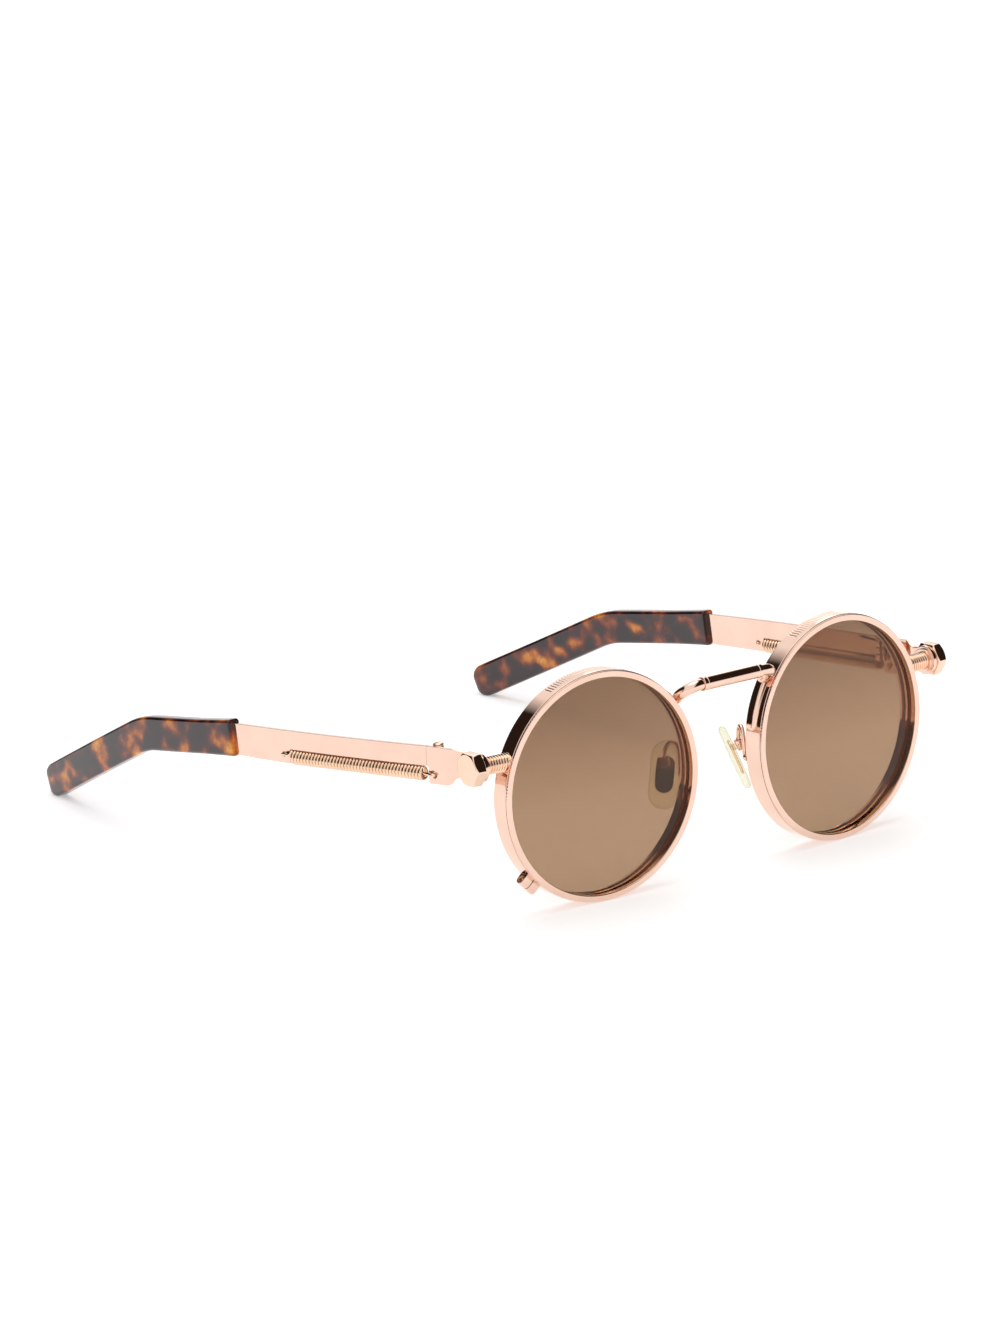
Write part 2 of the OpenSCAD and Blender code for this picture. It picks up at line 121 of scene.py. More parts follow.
def make_camera():
    data = bpy.data.cameras.new("camera")
    data.sensor_fit = "VERTICAL"
    data.sensor_height = SENSOR_HEIGHT
    data.lens = CAMERA_LENS
    data.clip_start, data.clip_end = 0.1, 20
    obj = bpy.data.objects.new("camera", data)
    bpy.context.scene.collection.objects.link(obj)
    obj.matrix_world = Matrix.Translation(CAMERA_AT) @ Matrix(CAMERA_AXES).transposed().to_4x4()
    bpy.context.scene.camera = obj


make_camera()


# ---- frames: millimetres in a piece's own frame to metres in the object's ----

def placed(side):
    return Matrix.Scale(MM, 4) @ Matrix.Translation((0, FRONT_Y, 0)) @ Matrix.Diagonal((side, 1, 1, 1))


def in_rim(side):
    return placed(side) @ Matrix.Translation((LENS_X, 0, RIM_Z)) @ Matrix.Rotation(WRAP, 4, "Z")


def at_angle(angle):
    return Matrix.Rotation(radians(-angle), 4, "Y")


def in_pad(side):
    return (placed(side) @ Matrix.Translation(PAD_AT) @ Matrix.Rotation(-PAD_TURN, 4, "Z")
            @ Matrix.Rotation(-PAD_LEAN, 4, "Y"))


# Puts a shape made along z onto the side bolt's axis, its z = 0 at x = 0
ON_BOLT = Matrix.Translation((0, BOLT_Y, BOLT_Z)) @ Matrix.Rotation(pi / 2, 4, "Y")
# Puts a shape turned about z onto a rim's y axis
ON_RIM = Matrix.Rotation(-pi / 2, 4, "X")


# ---- shapes: each returns (points, faces) in millimetres ----

def moved(shape, matrix):
    points, faces = shape
    return [matrix @ Vector(p) for p in points], faces


def joined(*shapes):
    points, faces = [], []
    for p, f in shapes:
        start = len(points)
        points += list(p)
        faces += [[start + i for i in face] for face in f]
    return points, faces


def fillet(outline, radius, steps=3):
    """A closed 2D outline with its corners rounded."""
    out, n = [], len(outline)
    for i in range(n):
        a, c, b = (Vector(outline[(i + k) % n]) for k in (-1, 0, 1))
        u, v = a - c, b - c
        r = radius[i] if isinstance(radius, (list, tuple)) else radius
        reach = min(r, 0.45 * u.length, 0.45 * v.length)
        if reach < 1e-4 or u.normalized().dot(v.normalized()) < -0.985:
            out.append(c)
            continue
        p, q = c + u.normalized() * reach, c + v.normalized() * reach
        for k in range(steps + 1):
            t = k / steps
            out.append(p * (1 - t) ** 2 + c * 2 * t * (1 - t) + q * t ** 2)
    return out


def turned(profile, angles=None, steps=128, relief=None):
    """Turns a closed profile of (radius, z) about z; angles, in degrees, leave it open with capped ends."""
    whole = angles is None
    if whole:
        angles = [360 * k / steps for k in range(steps)]
    n, m = len(profile), len(angles)
    points = []
    for a in angles:
        for k, (r, z) in enumerate(profile):
            r -= relief(a, r, z) if relief else 0
            points.append(Vector((r * cos(radians(a)), r * sin(radians(a)), z)))
    faces = []
    for i in range(m if whole else m - 1):
        j = (i + 1) % m
        for k in range(n):
            l = (k + 1) % n
            faces.append([i * n + k, j * n + k, j * n + l, i * n + l])
    if not whole:
        faces += [list(range(n)), [(m - 1) * n + k for k in range(n)]]
    return points, faces


def lathe(profile, steps=64):
    """Turns an open profile of (radius, z) that starts and ends on the axis about z."""
    points, faces, rings = [], [], []
    for r, z in profile:
        if r < 1e-6:
            rings.append([len(points)])
            points.append(Vector((0, 0, z)))
        else:
            rings.append([len(points) + k for k in range(steps)])
            points += [Vector((r * cos(2 * pi * k / steps), r * sin(2 * pi * k / steps), z))
                       for k in range(steps)]
    for a, b in zip(rings, rings[1:]):
        for k in range(steps):
            j = (k + 1) % steps
            quad = [a[k % len(a)], a[j % len(a)], b[j % len(b)], b[k % len(b)]]
            face = [v for i, v in enumerate(quad) if v != quad[i - 1]]
            if len(face) > 2:
                faces.append(face)
    return points, faces


def loft(rings, caps=True):
    """Joins rings of the same number of points."""
    n = len(rings[0])
    points = [Vector(p) for ring in rings for p in ring]
    faces = []
    for i in range(len(rings) - 1):
        for k in range(n):
            j = (k + 1) % n
            faces.append([i * n + k, (i + 1) * n + k, (i + 1) * n + j, i * n + j])
    if caps:
        faces += [list(range(n)), [(len(rings) - 1) * n + k for k in range(n)]]
    return points, faces


def inset(outline, distance):
    """Moves each point of a closed outline to its left, into the material."""
    out, n = [], len(outline)
    for i in range(n):
        a, c, b = (Vector(outline[(i + k) % n]) for k in (-1, 0, 1))
        u, v = (c - a).normalized(), (b - c).normalized()
        nu, nv = Vector((-u.y, u.x)), Vector((-v.y, v.x))
        mid = (nu + nv).normalized()
        out.append(c + mid * distance / max(0.4, mid.dot(nu)))
    return out


def filled(points, loops):
    """Triangles that fill closed flat loops of point indices; a loop inside another stays open."""
    work = bmesh.new()
    verts = {i: work.verts.new(points[i]) for loop in loops for i in loop}
    index = {v: i for i, v in verts.items()}
    edges = [work.edges.new((verts[a], verts[b]))
             for loop in loops for a, b in zip(loop, loop[1:] + loop[:1])]
    made = bmesh.ops.triangle_fill(work, use_beauty=True, use_dissolve=False, edges=edges)
    faces = [[index[v] for v in f.verts] for f in made["geom"] if isinstance(f, bmesh.types.BMFace)]
    work.free()
    return faces


def plate(outlines, thickness, bevel, steps=3):
    """A flat plate across z = 0 with rounded edges; the first outline runs anticlockwise, holes clockwise."""
    points, faces, tops, bottoms = [], [], [], []
    for outline in outlines:
        n, start = len(outline), len(points)
        levels = []
        for k in range(steps + 1):
            a = pi / 2 * k / steps
            levels.append((bevel * (1 - sin(a)), thickness / 2 - bevel * (1 - cos(a))))
        rings = [(d, -z) for d, z in levels] + [(d, z) for d, z in reversed(levels)]
        for d, z in rings:
            points += [Vector((p.x, p.y, z)) for p in inset(outline, d)]
        for i in range(len(rings) - 1):
            for k in range(n):
                j = (k + 1) % n
                faces.append([start + i * n + k, start + i * n + j,
                              start + (i + 1) * n + j, start + (i + 1) * n + k])
        bottoms.append([start + k for k in range(n)])
        tops.append([start + (len(rings) - 1) * n + k for k in range(n)])
    return points, faces + filled(points, bottoms) + filled(points, tops)


def circle(centre, r, steps=40, clockwise=False):
    way = -1 if clockwise else 1
    return [Vector((centre[0] + r * cos(2 * pi * k / steps), centre[1] + way * r * sin(2 * pi * k / steps)))
            for k in range(steps)]


def spline(points, steps):
    """Catmull-Rom curve through 2D or 3D points."""
    p = [Vector(q) for q in points]
    out = []
    for i in range(len(p) - 1):
        a, b, c, d = p[max(i - 1, 0)], p[i], p[i + 1], p[min(i + 2, len(p) - 1)]
        for k in range(steps):
            t = k / steps
            out.append((2 * b + (c - a) * t + (2 * a - 5 * b + 4 * c - d) * t ** 2
                        + (3 * b - a - 3 * c + d) * t ** 3) / 2)
    return out + [p[-1]]


def tube(path, radius, sides=12, ends=2):
    """A round tube along a path, with a frame carried along it; the ends are round, or flat if ends is 0."""
    path = [Vector(p) for p in path]
    n = len(path)
    ways = [(path[min(i + 1, n - 1)] - path[max(i - 1, 0)]).normalized() for i in range(n)]
    u = ways[0].orthogonal().normalized()
    rings = []
    stations = [(path[i], ways[i], 1.0) for i in range(n)]
    if ends:
        caps = [pi / 2 * k / (ends + 1) for k in range(1, ends + 1)]
        front = [(path[0] - ways[0] * radius * sin(a), ways[0], cos(a)) for a in reversed(caps)]
        back = [(path[-1] + ways[-1] * radius * sin(a), ways[-1], cos(a)) for a in caps]
        stations = front + stations + back
    for centre, way, size in stations:
        u = (u - way * u.dot(way)).normalized()
        v = way.cross(u)
        rings.append([centre + (u * cos(2 * pi * k / sides) + v * sin(2 * pi * k / sides)) * radius * size
                      for k in range(sides)])
    return loft(rings)


def block(lo, hi, bevel=0.08):
    """A box between two corners with rounded edges."""
    (x0, y0, z0), (x1, y1, z1) = lo, hi
    outline = fillet([(x0, y0), (x1, y0), (x1, y1), (x0, y1)], bevel * 1.5, 3)
    return moved(plate([outline], z1 - z0, bevel), Matrix.Translation((0, 0, (z0 + z1) / 2)))


def slotted_head(r, h, slot):
    """A domed screw head standing on z = 0, with a straight slot along x."""
    dome = fillet([(0, 0), (r, 0), (r, h * 0.72), (r * 0.55, h), (0, h)], [0, 0.04, h * 0.3, h * 0.4, 0], 4)
    head = lathe(dome, 40)
    return carved(head, block((-r - 1, -slot / 2, h * 0.5), (r + 1, slot / 2, h + 1), 0.01))


def as_object(name, shape, matrix=None):
    points, faces = moved(shape, matrix) if matrix else shape
    mesh = bpy.data.meshes.new(name)
    mesh.from_pydata([tuple(p) for p in points], [], faces)
    work = bmesh.new()
    work.from_mesh(mesh)
    bmesh.ops.recalc_face_normals(work, faces=work.faces)
    work.to_mesh(mesh)
    work.free()
    obj = bpy.data.objects.new(name, mesh)
    bpy.context.scene.collection.objects.link(obj)
    return obj


def carved(shape, *cutters):
    """A shape with others cut out of it."""
    base = as_object("carving", shape)
    tools = [as_object("cutter", c) for c in cutters]
    for tool in tools:
        cut = base.modifiers.new("cut", "BOOLEAN")
        cut.operation, cut.solver, cut.object = "DIFFERENCE", "EXACT", tool
    bpy.context.view_layer.update()
    mesh = bpy.data.meshes.new_from_object(base.evaluated_get(bpy.context.evaluated_depsgraph_get()))
    result = ([v.co.copy() for v in mesh.vertices], [list(p.vertices) for p in mesh.polygons])
    for obj in [base] + tools:
        bpy.data.objects.remove(obj)
    return result


def bent(shape, plan, step, y0, y1):
    """Bends a plate made over (y, z, thickness) along a plan curve x(y), cut across every step."""
    obj = as_object("bending", shape)
    work = bmesh.new()
    work.from_mesh(obj.data)
    y = y0
    while y < y1:
        bmesh.ops.bisect_plane(work, geom=work.verts[:] + work.edges[:] + work.faces[:], dist=1e-5,
                               plane_co=(y, 0, 0), plane_no=(1, 0, 0))
        y += step
    for v in work.verts:
        s, z, u = v.co
        slope = (plan(s + 0.05) - plan(s - 0.05)) / 0.1
        size = hypot(1, slope)
        v.co = (plan(s) + u / size, s - u * slope / size, z)
    points = [v.co.copy() for v in work.verts]
    work.verts.index_update()
    faces = [[v.index for v in f.verts] for f in work.faces]
    work.free()
    bpy.data.objects.remove(obj)
    return points, faces


def piece(name, shape, matrix, material, body, nodes, sharp=38, blend=None):
    """A finished piece: smooth shaded, given its material, and carried by its CAD body; with blend, it is
    instead baked in place and carried by no body.
    """
    obj = as_object(name, shape, matrix)
    mesh = obj.data
    mesh.materials.append(material)
    for poly in mesh.polygons:
        poly.use_smooth = True
    mesh.set_sharp_from_angle(angle=radians(sharp))
    weigh = obj.modifiers.new("flat_faces", "WEIGHTED_NORMAL")
    weigh.keep_sharp = True
    weigh.weight = 60
    if blend:
        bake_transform(obj)
    else:
        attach(obj, body)
    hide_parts(*nodes)
    return obj


# ---- materials ----

def new_material(name):
    material = bpy.data.materials.new(name)
    material.use_nodes = True
    tree = material.node_tree
    tree.nodes.clear()
    out = tree.nodes.new("ShaderNodeOutputMaterial")
    return material, tree, out


def node(tree, kind, **values):
    made = tree.nodes.new(kind)
    for key, value in values.items():
        if key in made.inputs:
            made.inputs[key].default_value = value
        else:
            setattr(made, key, value)
    return made


def noise(tree, scale, detail=3.0, stretch=(1, 1, 1)):
    """Noise over the piece's own millimetres."""
    coords = node(tree, "ShaderNodeTexCoord")
    place = node(tree, "ShaderNodeMapping")
    place.inputs["Scale"].default_value = [1000 * scale * s for s in stretch]
    made = node(tree, "ShaderNodeTexNoise", Scale=1.0, Detail=detail)
    tree.links.new(coords.outputs["Object"], place.inputs["Vector"])
    tree.links.new(place.outputs["Vector"], made.inputs["Vector"])
    return made


def ramp(tree, source, stops):
    made = tree.nodes.new("ShaderNodeValToRGB")
    points = made.color_ramp.elements
    while len(points) < len(stops):
        points.new(0.5)
    for point, (where, colour) in zip(points, stops):
        point.position, point.color = where, tuple(colour) + (1,)
    tree.links.new(source, made.inputs["Fac"])
    return made


def grey(value):
    return (value, value, value)


def metal(name, light, deep, rough):
    """Polished plated metal: slight cloudiness in its colour, fine rubbing marks in its gloss."""
    material, tree, out = new_material(name)
    shader = node(tree, "ShaderNodeBsdfPrincipled", Metallic=1.0)
    cloud = noise(tree, 0.12, 2.0)
    colour = ramp(tree, cloud.outputs["Fac"], [(0.3, deep), (0.7, light)])
    tree.links.new(colour.outputs["Color"], shader.inputs["Base Color"])
    rubbed = noise(tree, 0.9, 6.0, (1, 0.25, 1))
    gloss = ramp(tree, rubbed.outputs["Fac"], [(0.35, grey(rough)), (0.75, grey(rough + 0.05))])
    tree.links.new(gloss.outputs["Color"], shader.inputs["Roughness"])
    bump = node(tree, "ShaderNodeBump", Strength=0.02, Distance=0.00002)
    tree.links.new(rubbed.outputs["Fac"], bump.inputs["Height"])
    tree.links.new(bump.outputs["Normal"], shader.inputs["Normal"])
    tree.links.new(shader.outputs["BSDF"], out.inputs["Surface"])
    return material


def mixed_by_slant(tree, out, stops, facing_shader, slanting_shader):
    """Goes from one shader to another as the surface turns away from the eye."""
    facing = node(tree, "ShaderNodeLayerWeight", Blend=0.5)
    amount = ramp(tree, facing.outputs["Facing"], [(where, grey(value)) for where, value in stops])
    mix = node(tree, "ShaderNodeMixShader")
    tree.links.new(amount.outputs["Color"], mix.inputs["Fac"])
    tree.links.new(facing_shader.outputs["BSDF"], mix.inputs[1])
    tree.links.new(slanting_shader.outputs["BSDF"], mix.inputs[2])
    tree.links.new(mix.outputs["Shader"], out.inputs["Surface"])


def tinted_glass(name, stops, gloss):
    """Lens material: light passes tinted, and the surface mirrors more at a slant."""
    material, tree, out = new_material(name)
    coords = node(tree, "ShaderNodeTexCoord")
    split = node(tree, "ShaderNodeSeparateXYZ")
    tree.links.new(coords.outputs["Object"], split.inputs["Vector"])
    height = node(tree, "ShaderNodeMapRange")
    height.inputs["From Min"].default_value = (RIM_Z - LENS_R) * MM
    height.inputs["From Max"].default_value = (RIM_Z + LENS_R) * MM
    tree.links.new(split.outputs["Z"], height.inputs["Value"])
    tint = ramp(tree, height.outputs["Result"], stops)
    clear = node(tree, "ShaderNodeBsdfTransparent")
    tree.links.new(tint.outputs["Color"], clear.inputs["Color"])
    mirror = node(tree, "ShaderNodeBsdfGlossy", Roughness=0.02)
    mirror.inputs["Color"].default_value = tuple(gloss) + (1,)
    mixed_by_slant(tree, out, [(0.0, 0.025), (0.5, 0.045), (0.8, 0.2), (1.0, 0.9)], clear, mirror)
    return material


def tortoise_acetate():
    """Dark acetate with amber and honey flecks under a polished surface."""
    material, tree, out = new_material("tortoise_acetate")
    shader = node(tree, "ShaderNodeBsdfPrincipled", Roughness=0.14)
    shader.inputs["Coat Weight"].default_value = 0.3
    shader.inputs["Coat Roughness"].default_value = 0.05
    flecks = noise(tree, 0.27, 1.0, (1, 0.62, 0.8))
    flecks.inputs["Distortion"].default_value = 0.1
    patches = ramp(tree, flecks.outputs["Fac"], [
        (0.0, (0.014, 0.005, 0.007)), (0.44, (0.024, 0.007, 0.009)), (0.53, (0.085, 0.013, 0.009)),
        (0.6, (0.26, 0.045, 0.006)), (0.68, (0.62, 0.17, 0.008)), (0.78, (0.85, 0.36, 0.03))])
    smoke = noise(tree, 1.1, 3.0)
    veil = ramp(tree, smoke.outputs["Fac"], [(0.38, grey(0.62)), (0.62, grey(1.0))])
    mix = node(tree, "ShaderNodeMix", data_type="RGBA", blend_type="MULTIPLY")
    mix.inputs["Factor"].default_value = 0.8
    tree.links.new(patches.outputs["Color"], mix.inputs["A"])
    tree.links.new(veil.outputs["Color"], mix.inputs["B"])
    tree.links.new(mix.outputs["Result"], shader.inputs["Base Color"])
    waves = noise(tree, 0.25, 1.0)
    bump = node(tree, "ShaderNodeBump", Strength=0.05, Distance=0.0001)
    tree.links.new(waves.outputs["Fac"], bump.inputs["Height"])
    tree.links.new(bump.outputs["Normal"], shader.inputs["Normal"])
    tree.links.new(shader.outputs["BSDF"], out.inputs["Surface"])
    return material


def silicone():
    """Clear, faintly yellow silicone with cloudy depth."""
    material, tree, out = new_material("silicone")
    shader = node(tree, "ShaderNodeBsdfPrincipled", Roughness=0.12)
    cloud = noise(tree, 0.5, 3.0)
    colour = ramp(tree, cloud.outputs["Fac"], [(0.35, (0.80, 0.76, 0.42)), (0.7, (0.94, 0.92, 0.72))])
    tree.links.new(colour.outputs["Color"], shader.inputs["Base Color"])
    clear = node(tree, "ShaderNodeBsdfTransparent")
    clear.inputs["Color"].default_value = (0.97, 0.965, 0.87, 1)
    mixed_by_slant(tree, out, [(0.0, 0.05), (0.6, 0.16), (1.0, 0.75)], clear, shader)
    return material


ROSE = metal("rose_gold_polish", (0.91, 0.655, 0.535), (0.87, 0.605, 0.485), 0.05)
PALE = metal("pale_gold_wire", (0.90, 0.66, 0.49), (0.84, 0.58, 0.41), 0.07)
BOLT = metal("bolt_gold_polish", (0.93, 0.69, 0.54), (0.90, 0.645, 0.485), 0.06)
TINT = tinted_glass("brown_tint", [(0.0, (0.65, 0.52, 0.405)), (0.45, (0.625, 0.485, 0.375)),
                                   (1.0, (0.485, 0.355, 0.26))], (1, 0.95, 0.9))
CLEAR = tinted_glass("clear_glass", [(0.0, (0.985, 0.99, 0.985)), (1.0, (0.98, 0.985, 0.98))], (1, 1, 1))
TORTOISE = tortoise_acetate()
SILICONE = silicone()


# ---- rims, clip rings and lenses ----

REED_FROM, REED_TO, REED_PITCH, REED_DEPTH, REED_Y = 62, 118, 1.75, 0.09, (1.75, 4.25)
MILL_TEETH, MILL_DEPTH, MILL_SLANT = 230, 0.035, 7.0


def reeds(angle, r, z):
    """Shallow flutes in the top of the rim band."""
    if r < RIM_R - 0.01 or not REED_Y[0] < z < REED_Y[1] or not REED_FROM < -angle < REED_TO:
        return 0
    phase = (-angle - REED_FROM) / REED_PITCH
    wave = 0.5 - 0.5 * cos(2 * pi * (phase - floor(phase)))
    return REED_DEPTH * wave ** 2


def milling(angle, r, z):
    """Fine slanting teeth round the clip ring's edge."""
    if r < RING_R - 0.02:
        return 0
    return MILL_DEPTH * (0.5 - 0.5 * cos(radians(angle) * MILL_TEETH + z * MILL_SLANT))


def rim_shape():
    rim = fillet([(RIM_R, BAND_Y), (RIM_R, RIM_DEPTH), (LIP_R, RIM_DEPTH), (LIP_R, CLEAR_Y + LENS_T),
                  (CLEAR_R, CLEAR_Y + LENS_T), (CLEAR_R, CLEAR_Y), (LIP_R, CLEAR_Y), (LIP_R, SKIRT_END + 0.1),
                  (SEAT_R, SKIRT_END + 0.1), (SEAT_R, BAND_Y)],
                 [0.16, 0.28, 0.16, 0.05, 0, 0, 0.05, 0.05, 0, 0.08], 4)
    # rows of points across the outer face, so that the flutes can start and stop
    dense = []
    for i, p in enumerate(rim):
        dense.append(p)
        q = rim[(i + 1) % len(rim)]
        if p.x > RIM_R - 0.01 and q.x > RIM_R - 0.01 and (q - p).length > 2:
            for y in (1.7, 1.8, 2.1, 3.0, 3.9, 4.2, 4.3):
                dense.append(Vector((RIM_R, y)))
    gap = degrees(LOCK_GAP / 2 / RIM_R)
    start, end = -LOCK_ANGLE + gap, 360 - LOCK_ANGLE - gap
    angles, a = [start], start
    while a < end:
        local = (-a) % 360
        a += 0.175 if REED_FROM - 1 < local < REED_TO + 1 else 1.5
        angles.append(min(a, end))
    return turned(dense, angles, relief=lambda t, r, z: reeds(-((-t) % 360), r, z))


def clip_ring_shape():
    ring = fillet([(LENS_R, 0), (RING_R, 0), (RING_R, FLANGE), (SKIRT_R, FLANGE), (SKIRT_R, SKIRT_END),
                   (TINT_R, SKIRT_END), (TINT_R, TINT_Y), (LENS_R, TINT_Y)],
                  [0.22, 0.22, 0.1, 0.03, 0.08, 0.08, 0, 0.03], 4)
    return turned(ring, steps=MILL_TEETH * 6, relief=milling)


def lens_shape(opening, r, y, steps=16):
    """A curved disc of even thickness, flat outside the opening where the rim holds it."""
    arc = [(opening * k / steps, y - LENS_SAG * (1 - (k / steps) ** 2)) for k in range(steps + 1)]
    back = [(x, z + LENS_T) for x, z in reversed(arc)]
    return lathe(arc + [(r, y), (r, y + LENS_T)] + back, 128)


RIM_SHAPE, CLIP_SHAPE = rim_shape(), clip_ring_shape()

for k, side in SIDES.items():
    rim_at = in_rim(side) @ ON_RIM
    piece(f"rim_band_{k}", RIM_SHAPE, rim_at, ROSE, "front", [f"rim_{k}"])
    piece(f"clear_lens_disc_{k}", lens_shape(LIP_R, CLEAR_R - EASE, CLEAR_Y), rim_at, CLEAR, "front",
          [f"clear_lens_{k}"], sharp=30)
    piece(f"clip_flange_{k}", CLIP_SHAPE, rim_at, ROSE, f"clip_{k}", [f"clip_ring_{k}"],
          sharp=60)
    piece(f"tinted_lens_disc_{k}", lens_shape(LENS_R, TINT_R - EASE, TINT_Y), rim_at, TINT, f"clip_{k}",
          [f"tinted_lens_{k}"], sharp=30)


# ---- rim locks ----

def lock_half_shape():
    foot, centre = RIM_R - 0.06, RIM_R + LOCK_R
    arc = [(centre + LOCK_R * cos(radians(a)), LOCK_Y + LOCK_R * sin(radians(a))) for a in range(-90, 91, 9)]
    outline = [Vector(p) for p in [(foot, LOCK_Y - LOCK_R)] + arc + [(foot, LOCK_Y + LOCK_R)]]
    hole = circle((centre, LOCK_Y), 0.5, 24, clockwise=True)
    height = LOCK_HALF - LOCK_GAP / 2
    half = plate([outline, hole], height, 0.1)
    return moved(half, Matrix.Translation((0, 0, LOCK_GAP / 2 + height / 2)))


def lock_shape():
    upper = lock_half_shape()
    centre = RIM_R + LOCK_R
    sink = [(0, -LOCK_SINK), (LOCK_HEAD_R, -LOCK_SINK), (LOCK_HEAD_R, 1), (0, 1)]
    cup = moved(lathe(sink, 32), Matrix.Translation((centre, LOCK_Y, LOCK_HALF)))
    lower = moved(lock_half_shape(), Matrix.Diagonal((1, 1, -1, 1)))
    return joined(carved(upper, cup), lower)


def lock_screw_shape():
    shank = lathe([(0, -LOCK_HALF + 0.02), (0.45, -LOCK_HALF + 0.02), (0.49, -LOCK_HALF + 0.1),
                   (0.49, LOCK_HALF - LOCK_SINK), (0, LOCK_HALF - LOCK_SINK)], 24)
    head = moved(slotted_head(LOCK_HEAD_R - 0.05, LOCK_SINK - 0.06, 0.2),
                 Matrix.Translation((0, 0, LOCK_HALF - LOCK_SINK)))
    return moved(joined(shank, head), Matrix.Translation((RIM_R + LOCK_R, LOCK_Y, 0)))


LOCK_SHAPE, LOCK_SCREW = lock_shape(), lock_screw_shape()

for k, side in SIDES.items():
    here = in_rim(side) @ at_angle(LOCK_ANGLE)
    piece(f"rim_lock_block_{k}", LOCK_SHAPE, here, ROSE, "front", [f"rim_lock_{k}"])
    piece(f"rim_lock_pin_{k}", LOCK_SCREW, here, PALE, "front", [f"rim_lock_screw_{k}"])


# ---- bridge ----

def sleeve_shape():
    half, bore = SLEEVE_L / 2, SLEEVE_R - SLEEVE_WALL
    groove = half - 1.0
    outline = [(bore, -half), (SLEEVE_R, -half), (SLEEVE_R, -groove - 0.1), (SLEEVE_R - 0.09, -groove),
               (SLEEVE_R, -groove + 0.1), (SLEEVE_R, groove - 0.1), (SLEEVE_R - 0.09, groove),
               (SLEEVE_R, groove + 0.1), (SLEEVE_R, half), (bore, half)]
    radius = [0.05, 0.12, 0.04, 0.04, 0.04, 0.04, 0.04, 0.04, 0.12, 0.05]
    return turned(fillet(outline, radius, 4), steps=72)


def foot_shape():
    """The convex strip that the bridge rod runs into, laid along the rim band."""
    rings = []
    count = 44
    for i in range(count + 1):
        f = i / count
        angle = FOOT_FROM + (FOOT_TO - FOOT_FROM) * f
        # both ends are half round, each over FOOT_END degrees of the band
        near = min(1.0, (1 - f) * (FOOT_TO - FOOT_FROM) / FOOT_END)
        far = min(1.0, f * (FOOT_TO - FOOT_FROM) / FOOT_END)
        wide = sqrt(max(0.0004, 1 - (1 - near) ** 2)) * sqrt(max(0.0004, 1 - (1 - far) ** 2))
        y0, y1 = FOOT_Y
        mid, half = (y0 + y1) / 2, (y1 - y0) / 2 * wide
        top = RIM_R + (FOOT_R - RIM_R) * wide
        ring = []
        for j in range(13):
            t = -1 + 2 * j / 12
            rise = (1 - abs(t) ** 4) ** 0.5
            ring.append((RIM_R - 0.05 + (top - RIM_R + 0.05) * rise, mid + half * t))
        ring += [(RIM_R - 0.25, mid + half * 0.95), (RIM_R - 0.25, mid - half * 0.95)]
        a = radians(angle)
        rings.append([Vector((r * cos(a), y, r * sin(a))) for r, y in ring])
    return loft(rings)


ROD_PATH = [(4, SLEEVE_Y, SLEEVE_Z), (SLEEVE_L / 2, SLEEVE_Y, SLEEVE_Z), (10, -2.8, 42.9), (11.4, -2.3, 42.4),
            (12.1, -1.35, 41.7), (12.3, -0.3, 40.95), (12.15, 0.7, 40.1)]
ROD_SHAPE, FOOT_SHAPE = tube(spline(ROD_PATH, 10), ROD_R, 32, ends=3), foot_shape()

sleeve_at = placed(1) @ Matrix.Translation((0, SLEEVE_Y, SLEEVE_Z)) @ Matrix.Rotation(pi / 2, 4, "Y")
piece("bridge_sleeve_tube", sleeve_shape(), sleeve_at, ROSE, "front", ["bridge_sleeve"])
for k, side in SIDES.items():
    to_placed = placed(side).inverted() @ in_rim(side)
    rod = joined(ROD_SHAPE, moved(FOOT_SHAPE, to_placed))
    piece(f"bridge_rod_bend_{k}", rod, placed(side), ROSE, "front", [f"bridge_rod_{k}"])


# ---- side bolts, collars and end pieces ----

THREAD_PITCH, THREAD_DEPTH = 0.68, 0.42


def thread_shape(x1, sides=64, per_turn=12):
    """The threaded shank along z, from the round face of the rim band out to x1."""
    rings = []
    count = int((x1 - RIM_R + 2) / THREAD_PITCH * per_turn)
    for i in range(count + 1):
        ring = []
        for j in range(sides):
            height = BOLT_Z - SHANK_R * cos(2 * pi * j / sides)
            x0 = sqrt((RIM_R - EASE) ** 2 - height ** 2)
            x = x0 + (x1 - x0) * i / count
            phase = x / THREAD_PITCH - j / sides
            wave = abs(2 * (phase - floor(phase)) - 1)
            fade = min(1, (x1 - x) / 0.2)
            r = SHANK_R - EASE - THREAD_DEPTH * fade * (0.5 - 0.5 * cos(pi * wave)) ** 1.8
            ring.append(Vector((r * cos(2 * pi * j / sides), r * sin(2 * pi * j / sides), x)))
        rings.append(ring)
    return loft(rings)


